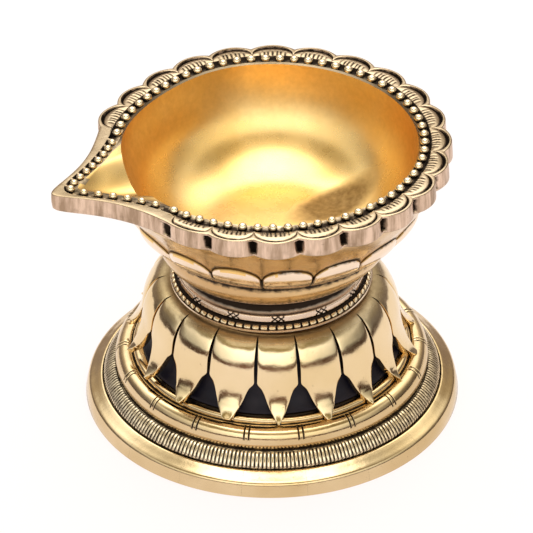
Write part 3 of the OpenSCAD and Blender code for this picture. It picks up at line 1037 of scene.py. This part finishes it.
@dataclass
class LotusSkirt:
    """Eighteen downturned petals, slit from one another and leaning a little."""

    petals: int = 18
    first_gap: float = -97.2
    hub_r: float = 14.0
    top_z: float = 45.4
    waist_r: float = 42.6
    tip_r: float = 49.0
    tip_z: float = 20.8
    wall: float = 2.3
    across: int = 18
    down: int = 62
    lean_x: float = -0.040
    lean_y: float = 0.018
    edge_round: float = 0.34
    hand_offsets: tuple[float, ...] = (0, -0.6, 0, -0.4, -2.4, -1.0, 0.5, 0, 0.8, 0, -0.6, 0, 0.4, 0, -0.6, -1.7, -2.6, -2.0)

    def line(self) -> np.ndarray:
        """The skirt's outside from hub to tips, evenly spaced, as radius and height."""
        pts = (
            [(self.hub_r, self.top_z), (24.0, self.top_z)]
            + curve_run((33.8, self.top_z), (37.5, self.top_z), (41.6, 41.5), (self.waist_r, 34.5), 40, True)
            + curve_run((self.waist_r, 34.5), (43.2, 29.5), (45.0, 23.5), (self.tip_r, self.tip_z), 40)
        )
        line = np.array(pts)
        length = np.concatenate([[0], np.cumsum(np.hypot(*np.diff(line, axis=0).T))])
        hub = float(np.interp(33.8, line[:44, 0], length[:44]))
        stations = np.concatenate([np.linspace(0, hub, 5)[:-1], np.linspace(hub, length[-1], self.down - 3)])
        return np.stack([np.interp(stations, length, line[:, 0]), np.interp(stations, length, line[:, 1])], axis=1)

    @staticmethod
    def half_gap(z: np.ndarray) -> np.ndarray:
        """Half the opening between two petals at a height."""
        heights = (20.6, 20.95, 21.6, 23.6, 26.0, 28.4, 30.0, 30.9, 31.5, 32.2, 37.0, 41.5, 44.6, 45.1, 45.34)
        widths = (8.10, 7.75, 7.05, 5.35, 4.0, 3.0, 2.2, 1.35, 0.75, 0.50, 0.62, 0.50, 0.32, 0.22, 0.0)
        return np.interp(z, heights, widths)

    def build(self, finishes: Finishes) -> bpy.types.Object:
        """Shape each petal, weld the hub and give the wall its thickness.

        Args:
            finishes: The lamp's materials.

        Returns:
            The skirt piece.
        """
        line = self.line()
        rows = len(line) - 1
        gaps = [self.first_gap + 360.0 / self.petals * i + self.hand_offsets[i] for i in range(self.petals)]
        bm = bmesh.new()
        layer = bm.verts.layers.float.new("patina_and_shade")
        home = [bm.verts.layers.float.new(key) for key in ("home_x", "home_y", "home_z")]
        station = bm.verts.layers.int.new("station")
        slope = np.gradient(line, axis=0)
        slope /= np.hypot(slope[:, 0], slope[:, 1])[:, None]
        for i, left in enumerate(gaps):
            right = gaps[(i + 1) % self.petals] + (360.0 if i == self.petals - 1 else 0.0)
            verts = bmesh.ops.create_grid(bm, x_segments=self.across, y_segments=rows, size=0.5)["verts"]
            for vert in verts:
                f, k = vert.co.x + 0.5, int(round((vert.co.y + 0.5) * rows))
                r, z = line[k]
                gap = float(self.half_gap(z)) if k > 4 else 0.0
                share = math.degrees(gap / r)
                a = math.radians(left + share + f * (right - left - 2 * share))
                side = abs(2 * f - 1)
                open_part = min(gap / 0.5, 1.0)
                low = 1.0 - float(ease(z, 33.0, 41.0))
                crown = -0.30 * side**6 * open_part + 0.22 * (1 - side**2) * open_part * low
                r_at = r + crown * (0.6 if z < 24 else 1.0) * (1.0 - float(ease(z, 42.0, 45.0)))
                z_at = z
                vert.co = (r_at * math.cos(a) * MM, r_at * math.sin(a) * MM, z_at * MM)
                vert[layer] = 0.0
                vert[station] = k
        bmesh.ops.remove_doubles(bm, verts=bm.verts, dist=8e-6)
        for vert in bm.verts:
            for key, value in zip(home, vert.co):
                vert[key] = value
        bmesh.ops.recalc_face_normals(bm, faces=bm.faces)
        outward = sum(f.normal.dot(Vector((f.calc_center_median().x, f.calc_center_median().y, 0))) for f in bm.faces)
        if outward < 0:
            bmesh.ops.reverse_faces(bm, faces=bm.faces)
        bmesh.ops.solidify(bm, geom=list(bm.faces), thickness=self.wall * MM)
        for vert in bm.verts:
            at = Vector([vert[key] for key in home])
            if (vert.co - at).length > 1e-7:
                run, fall = slope[vert[station]]
                r = math.hypot(at.x, at.y)
                wall = self.wall * MM * (1.0 - 0.25 * float(ease(-at.z / MM, -24.0, -20.9)))
                inward = Vector((fall * at.x / r, fall * at.y / r, -run)) * wall
                vert.co = at + inward
        bmesh.ops.recalc_face_normals(bm, faces=bm.faces)
        crisp = [
            e for e in bm.edges
            if len(e.link_faces) == 2 and e.calc_face_angle(0.0) > math.radians(55)
            and max(v.co.z for v in e.verts) < 44.0 * MM
        ]
        bmesh.ops.bevel(
            bm, geom=crisp, offset=self.edge_round * MM, segments=2, profile=0.5, affect="EDGES",
            material=-1, clamp_overlap=True,
        )
        for vert in bm.verts:
            x, y, z = vert.co / MM
            r = math.hypot(x, y)
            fade = float(ease(r, 22.0, 44.0))
            # Painted shade: the petals' shoulders near the hub, under the bowl, are darkened.
            vert[layer] = 0.52 * float(ease(-r, -41.2, -34.5)) * float(z > 39.5)
            vert.co.z += (self.lean_x * x + self.lean_y * y) * fade * MM
        return make_piece("lotus_skirt_petals", bm, finishes.skirt, ["lotus_skirt"], sharp_deg=38)


@dataclass
class InnerDrum:
    """The blackened drum that shows dark between the petals."""

    ledge_z: float = 19.8
    top_z: float = 42.4
    steps: int = 192

    def build(self, finishes: Finishes) -> bpy.types.Object:
        """Turn the drum."""
        section = (
            [(37, self.ledge_z), (43.0, self.ledge_z), (43.4, self.ledge_z + 0.3), (43.2, 21.0)]
            + curve_run((43.2, 21.0), (40.2, 22.5), (39.0, 27.0), (38.6, 33.0), 10)
            + curve_run((38.6, 33.0), (38.3, 37.0), (36.5, 39.5), (33.0, self.top_z), 8)
            + [(4.3, self.top_z), (4.3, 40.4), (32, 40.4), (35, 37.8), (36.4, 34.6), (36.8, 30), (37, 24)]
        )
        spun = Spun(section, self.steps)
        wobble = 0.12 * np.sin(np.radians(3 * spun.azimuth)) + 0.08 * np.sin(np.radians(7 * spun.azimuth + 40))
        r = spun.radius + np.where(spun.radius > 38.3, wobble, 0.0)
        spun.place_polar(r, spun.azimuth, spun.height)
        return make_piece("inner_drum_painted", spun.close(), finishes.paint, ["inner_drum"])


# ------------------------------------------------------------------ foot


@dataclass
class FootRing:
    """The stepped foot: band, flange, reeded band, marked roll and ledge."""

    foot_r: float = 62.5
    roll_pairs: int = 18
    first_pair: float = -99.5
    mark_off: float = 0.75
    mark_half: float = 0.36
    reeds: int = 264

    def columns(self) -> np.ndarray:
        """Azimuths of the foot's columns, drawn close together at the marks."""
        pitch = 360.0 / self.roll_pairs
        edge = math.degrees(self.mark_off / 50.0)
        half = math.degrees(self.mark_half / 50.0)
        fine = [edge + half * k for k in (-2.2, -1.0, -0.55, 0.0, 0.55, 1.0, 2.2)]
        coarse = np.linspace(fine[-1], pitch / 2, 10)[1:-1]
        right = [0.0, *fine, *coarse]
        one = np.array([-v for v in reversed(right[1:])] + right + [pitch / 2])
        return np.concatenate([self.first_pair + pitch * i + one for i in range(self.roll_pairs)])

    def build(self, finishes: Finishes) -> bpy.types.Object:
        """Turn the foot, cut the paired marks and add the reeded band."""
        roll = curve_run((51.7, 11.6), (53.3, 14.6), (51.8, 18.4), (48.8, 18.5), 22)
        section = (
            [(58.5, 0.0), (62.1, 0.0), (62.4, 0.1), (self.foot_r, 0.4), (62.1, 2.4), (61.65, 4.2), (61.5, 4.6), (61.2, 4.95)]
            + [(60.8, 5.25), (60.2, 5.5), (58.7, 6.35), (57.5, 7.0), (57.15, 7.15), (56.85, 7.05), (56.65, 6.9), (56.4, 6.6)]
            + [(55.4, 6.6), (52.0, 9.6), (52.1, 11.0), (51.75, 11.15), (51.65, 11.35)]
            + roll
            + [(47.9, 18.42), (47.2, 18.25), (46.9, 18.0), (46.65, 17.8), (46.5, 17.9), (46.4, 18.5), (46.25, 19.1), (45.9, 19.55)]
            + [(45.3, 19.8), (44.6, 19.8), (34, 19.8), (34, 16.8), (43.4, 16.8), (47.6, 15.4), (48.6, 10.4), (52.6, 7.4), (58.5, 2.6)]
        )
        columns = self.columns()
        spun = Spun(section, len(columns))
        azimuth = columns[spun.column]
        pitch = 360.0 / self.roll_pairs
        off = wrap_deg((azimuth - self.first_pair + pitch / 2) % pitch - pitch / 2) * math.radians(50.0)
        on_top = (spun.radius > 48.3) & (spun.radius < 52.4) & (spun.height > 15.6)
        cut = hump(np.abs(off) - self.mark_off, self.mark_half) * on_top
        r, z = spun.radius - 0.12 * cut, spun.height - 0.30 * cut
        spun.patina_and_shade = np.maximum(cut, 0.0)
        for middle_r, middle_z, reach, dark in ((56.6, 6.8, 0.45, 1.0), (51.7, 11.25, 0.5, 1.0), (46.6, 17.9, 0.55, 1.0)):
            spun.patina_and_shade = np.maximum(spun.patina_and_shade, dark * hump(np.hypot(spun.radius - middle_r, spun.height - middle_z), reach))
        spun.place_polar(r, azimuth, z)
        whole = spun.close()
        turned = len(whole.faces)
        piece = make_piece("foot_ring_turned", join_bmesh([whole, self.reeded_band()]), finishes.foot, ["foot_ring"])
        piece.data.materials.append(finishes.beads)
        reeds = np.arange(len(piece.data.polygons)) >= turned
        piece.data.polygons.foreach_set("material_index", reeds.astype(np.int32))
        return piece

    def reeded_band(self) -> bmesh.types.BMesh:
        """The sloping band of fine upright reeds."""
        outer = curve_run((56.35, 7.3), (56.1, 8.6), (54.2, 10.6), (52.4, 11.3), 9, True)
        section = [(55.9, 6.5)] + outer + [(51.9, 11.0), (51.9, 9.9), (54.6, 7.0)]
        spun = Spun(section, self.reeds * 4)
        wave = np.choose(spun.column % 4, (1.0, 0.40, -1.0, 0.40))
        outside = (spun.row >= 1) & (spun.row <= len(outer))
        rim_fade = np.where((spun.row == 1) | (spun.row == len(outer)), 0.2, 1.0) * outside
        lift = 0.19 * wave * rim_fade
        r, z = spun.radius + 0.62 * lift, spun.height + 0.78 * lift
        # Painted shade: the valleys between the reeds, the band's edge rows and its hidden faces are darkened; the
        # crests stay bright.
        spun.patina_and_shade = np.where(outside, 0.48 - 0.52 * wave, 0.9)
        spun.patina_and_shade = np.clip(np.where((spun.row == 1) | (spun.row == len(outer)), 0.6, spun.patina_and_shade), 0, 1)
        spun.place_polar(r, spun.azimuth, z)
        return spun.close()


# ------------------------------------------------------------- fastening


@dataclass
class Fastening:
    """Stud, clamp plate, spring washer and nut that draw the castings together."""

    stud_r: float = 4.0
    stud_low: float = 4.6
    stud_high: float = 59.4
    thread_pitch: float = 1.25
    thread_depth: float = 0.38
    nut_flats: float = 13.0
    nut_low: float = 6.7
    nut_high: float = 13.2
    washer_r: float = 7.0
    washer_high: float = 14.8
    plate_r: float = 41.0
    plate_high: float = 16.8
    bore_r: float = 4.3

    def build_stud(self, finishes: Finishes) -> bpy.types.Object:
        """Turn the threaded stud."""
        core = self.stud_r - self.thread_depth
        section: Section = [(0, self.stud_low), (core - 0.3, self.stud_low), (core, self.stud_low + 0.3)]
        z = self.stud_low + 0.6
        while z < self.stud_high - self.thread_pitch:
            section += [(core, z), (self.stud_r, z + 0.5 * self.thread_pitch)]
            z += self.thread_pitch
        section += [(core, z), (core - 0.4, self.stud_high), (0, self.stud_high)]
        spun = Spun(section, 40)
        spun.place_polar(spun.radius, spun.azimuth, spun.height)
        return make_piece("tie_stud_threaded", spun.close(), finishes.steel, ["tie_stud"], sharp_deg=30)

    def build_plate(self, finishes: Finishes) -> bpy.types.Object:
        """Turn the clamp plate with a pressed bead."""
        low, high = self.plate_high - 2.0, self.plate_high
        section = [
            (self.bore_r, low + 0.2), (self.bore_r + 0.2, low), (20, low), (21, low - 0.5), (24, low - 0.5), (25, low),
            (self.plate_r - 0.4, low), (self.plate_r, low + 0.4), (self.plate_r, high - 0.3), (self.plate_r - 0.3, high),
            (25, high), (24, high - 0.5), (21, high - 0.5), (20, high), (self.bore_r, high),
        ]
        spun = Spun(section, 120)
        spun.place_polar(spun.radius, spun.azimuth, spun.height)
        return make_piece("clamp_plate_pressed", spun.close(), finishes.steel, ["clamp_plate"], sharp_deg=30)

    def build_washer(self, finishes: Finishes) -> bpy.types.Object:
        """Turn the washer with eased edges."""
        low, high = self.nut_high, self.washer_high
        section = [
            (self.bore_r, low + 0.15), (self.bore_r + 0.15, low), (self.washer_r - 0.25, low), (self.washer_r, low + 0.25),
            (self.washer_r, high - 0.25), (self.washer_r - 0.25, high), (self.bore_r + 0.15, high), (self.bore_r, high - 0.15),
        ]
        spun = Spun(section, 64)
        spun.place_polar(spun.radius, spun.azimuth, spun.height)
        return make_piece("spring_washer_turned", spun.close(), finishes.steel, ["spring_washer"], sharp_deg=30)

    def build_nut(self, finishes: Finishes) -> bpy.types.Object:
        """Shape the hexagon nut: a turned blank with its flats and chamfers."""
        corner = self.nut_flats / math.sqrt(3.0)
        low, high = self.nut_low, self.nut_high
        flat = self.nut_flats / 2
        section = [
            (self.stud_r - 0.3, low + 0.5), (self.stud_r + 0.3, low), (flat - 0.2, low), (corner, low + 0.75),
            (corner, high - 0.75), (flat - 0.2, high), (self.stud_r + 0.3, high), (self.stud_r - 0.3, high - 0.5),
        ]
        spun = Spun(section, 96)
        toward = np.radians(wrap_deg((spun.azimuth + 30.0) % 60.0 - 30.0))
        limit = flat / np.cos(toward)
        spun.place_polar(np.minimum(spun.radius, limit), spun.azimuth, spun.height)
        return make_piece("tie_nut_hexagon", spun.close(), finishes.steel, ["tie_nut"], sharp_deg=25)

    def build(self, finishes: Finishes) -> None:
        """Make every piece of the fastening."""
        self.build_stud(finishes)
        self.build_plate(finishes)
        self.build_washer(finishes)
        self.build_nut(finishes)


# ---------------------------------------------------------------- studio


@dataclass
class Studio:
    """Pale floor, soft light and the camera."""

    camera_at: tuple[float, float, float] = (0.0, -1286.186, 936.194)
    look: tuple[float, float, float] = (-0.00094279, 0.82305555, -0.5679601)
    right: tuple[float, float, float] = (0.99996137, -0.00418748, -0.00772816)
    up: tuple[float, float, float] = (0.00873903, 0.56794544, 0.82301981)
    lens: float = 319.15
    floor_half: float = 3.0

    def build_camera(self) -> None:
        """Set the camera."""
        data = bpy.data.cameras.new("camera")
        data.lens = self.lens
        data.sensor_width = 36.0
        data.clip_start, data.clip_end = 0.05, 20.0
        camera = bpy.data.objects.new("camera", data)
        turn = Matrix((self.right, self.up, [-v for v in self.look])).transposed()
        camera.matrix_world = Matrix.Translation(Vector(self.camera_at) * MM) @ turn.to_4x4()
        bpy.context.scene.collection.objects.link(camera)
        bpy.context.scene.camera = camera

    def build_floor(self) -> None:
        """Lay the pale floor."""
        bm = bmesh.new()
        bmesh.ops.create_grid(bm, x_segments=1, y_segments=1, size=self.floor_half)
        mesh = bpy.data.meshes.new("floor")
        bm.to_mesh(mesh)
        bm.free()
        mat = bpy.data.materials.new("floor_paper")
        mat.use_nodes = True
        shader = mat.node_tree.nodes["Principled BSDF"]
        shader.inputs["Base Color"].default_value = (0.16, 0.158, 0.156, 1.0)
        shader.inputs["Roughness"].default_value = 0.9
        shader.inputs["Specular IOR Level"].default_value = 0.0
        shader.inputs["Emission Color"].default_value = (1.0, 0.93, 0.92, 1.0)
        shader.inputs["Emission Strength"].default_value = 0.87
        mesh.materials.append(mat)
        floor = bpy.data.objects.new("floor", mesh)
        bpy.context.scene.collection.objects.link(floor)

    def build_world(self) -> None:
        """Surround the lamp with a soft room: bright low wall, dim middle, bright softbox above."""
        world = bpy.data.worlds.new("room")
        bpy.context.scene.world = world
        world.use_nodes = True
        nodes, links = world.node_tree.nodes, world.node_tree.links
        nodes.clear()
        out = nodes.new("ShaderNodeOutputWorld")
        back = nodes.new("ShaderNodeBackground")
        links.new(back.outputs["Background"], out.inputs["Surface"])
        split = nodes.new("ShaderNodeSeparateXYZ")
        links.new(nodes.new("ShaderNodeTexCoord").outputs["Generated"], split.inputs["Vector"])

        def ramp(stops: Sequence[tuple[float, tuple[float, float, float], float]]) -> bpy.types.NodeSocket:
            """A colour by the sine of the elevation, each stop a height, a colour and a strength."""
            node = nodes.new("ShaderNodeValToRGB")
            node.color_ramp.interpolation = "EASE"
            elements = node.color_ramp.elements
            while len(elements) > 1:
                elements.remove(elements[-1])
            for k, (degrees, colour, strength) in enumerate(stops):
                position = math.sin(math.radians(max(degrees, 0.0)))
                element = elements[0] if k == 0 else elements.new(position)
                element.position = position
                element.color = (*[c * strength for c in colour], 1.0)
            links.new(split.outputs["Z"], node.inputs["Fac"])
            return node.outputs["Color"]

        umber, white, pink = (1.0, 0.50, 0.34), (1.0, 1.0, 0.95), (1.0, 0.84, 0.78)
        cream, olive = (1.0, 0.86, 0.66), (1.0, 0.82, 0.42)
        front = ramp([
            (0, umber, 0.20), (6, umber, 0.16), (12, white, 0.84), (40, white, 0.88), (48, olive, 0.42), (62, olive, 0.42),
            (72, white, 0.97), (90, white, 1.0),
        ])
        rear = ramp([
            (0, pink, 0.42), (14, pink, 0.42), (24, cream, 0.66), (36, white, 0.86), (52, white, 0.97), (90, white, 1.0),
        ])
        facing = nodes.new("ShaderNodeMapRange")
        facing.inputs["From Min"].default_value = -0.25
        facing.inputs["From Max"].default_value = 0.45
        links.new(split.outputs["Y"], facing.inputs["Value"])
        mix = nodes.new("ShaderNodeMix")
        mix.data_type = "RGBA"
        links.new(facing.outputs["Result"], mix.inputs["Factor"])
        links.new(front, mix.inputs[6])
        links.new(rear, mix.inputs[7])
        links.new(mix.outputs[2], back.inputs["Color"])
        lamp_share = nodes.new("ShaderNodeMath")
        lamp_share.operation = "POWER"
        split_colour = nodes.new("ShaderNodeSeparateColor")
        links.new(mix.outputs[2], split_colour.inputs["Color"])
        links.new(split_colour.outputs["Blue"], lamp_share.inputs[0])
        lamp_share.inputs[1].default_value = 6.0
        strength = nodes.new("ShaderNodeMapRange")
        strength.inputs["To Min"].default_value = 1.0
        strength.inputs["To Max"].default_value = 5.0
        links.new(lamp_share.outputs["Value"], strength.inputs["Value"])
        sideways = nodes.new("ShaderNodeMath")
        sideways.operation = "ABSOLUTE"
        links.new(split.outputs["X"], sideways.inputs[0])
        dim = nodes.new("ShaderNodeMapRange")
        dim.inputs["From Min"].default_value = 0.35
        dim.inputs["From Max"].default_value = 0.95
        dim.inputs["To Min"].default_value = 1.0
        dim.inputs["To Max"].default_value = 0.35
        links.new(sideways.outputs["Value"], dim.inputs["Value"])
        total = nodes.new("ShaderNodeMath")
        total.operation = "MULTIPLY"
        links.new(strength.outputs["Result"], total.inputs[0])
        links.new(dim.outputs["Result"], total.inputs[1])
        links.new(total.outputs["Value"], back.inputs["Strength"])

    def build_light(self) -> None:
        """Hang one broad soft lamp high in front."""
        data = bpy.data.lights.new("softbox", "AREA")
        data.shape, data.size, data.size_y = "RECTANGLE", 1.6, 0.7
        data.energy = 2.0
        data.color = (1.0, 0.97, 0.90)
        light = bpy.data.objects.new("softbox", data)
        at = Vector((0.0, -0.75, 1.75))
        light.matrix_world = Matrix.Translation(at) @ (-at).to_track_quat("-Z", "Y").to_matrix().to_4x4()
        bpy.context.scene.collection.objects.link(light)

    def build(self) -> None:
        """Set up the whole studio."""
        self.build_camera()
        self.build_floor()
        self.build_world()
        self.build_light()
        bpy.context.scene.view_settings.view_transform = "Standard"


def main() -> None:
    """Build the lamp from the foot up, then the studio."""
    logging.basicConfig(level=logging.INFO, format="%(name)s: %(message)s")
    finishes = Finishes.mixed()
    FootRing().build(finishes)
    Fastening().build(finishes)
    InnerDrum().build(finishes)
    LotusSkirt().build(finishes)
    BeadRing().build(finishes)
    NeckCollar().build(finishes)
    OilBowl().build(finishes)
    Studio().build()


if __name__ == "__main__":
    main()
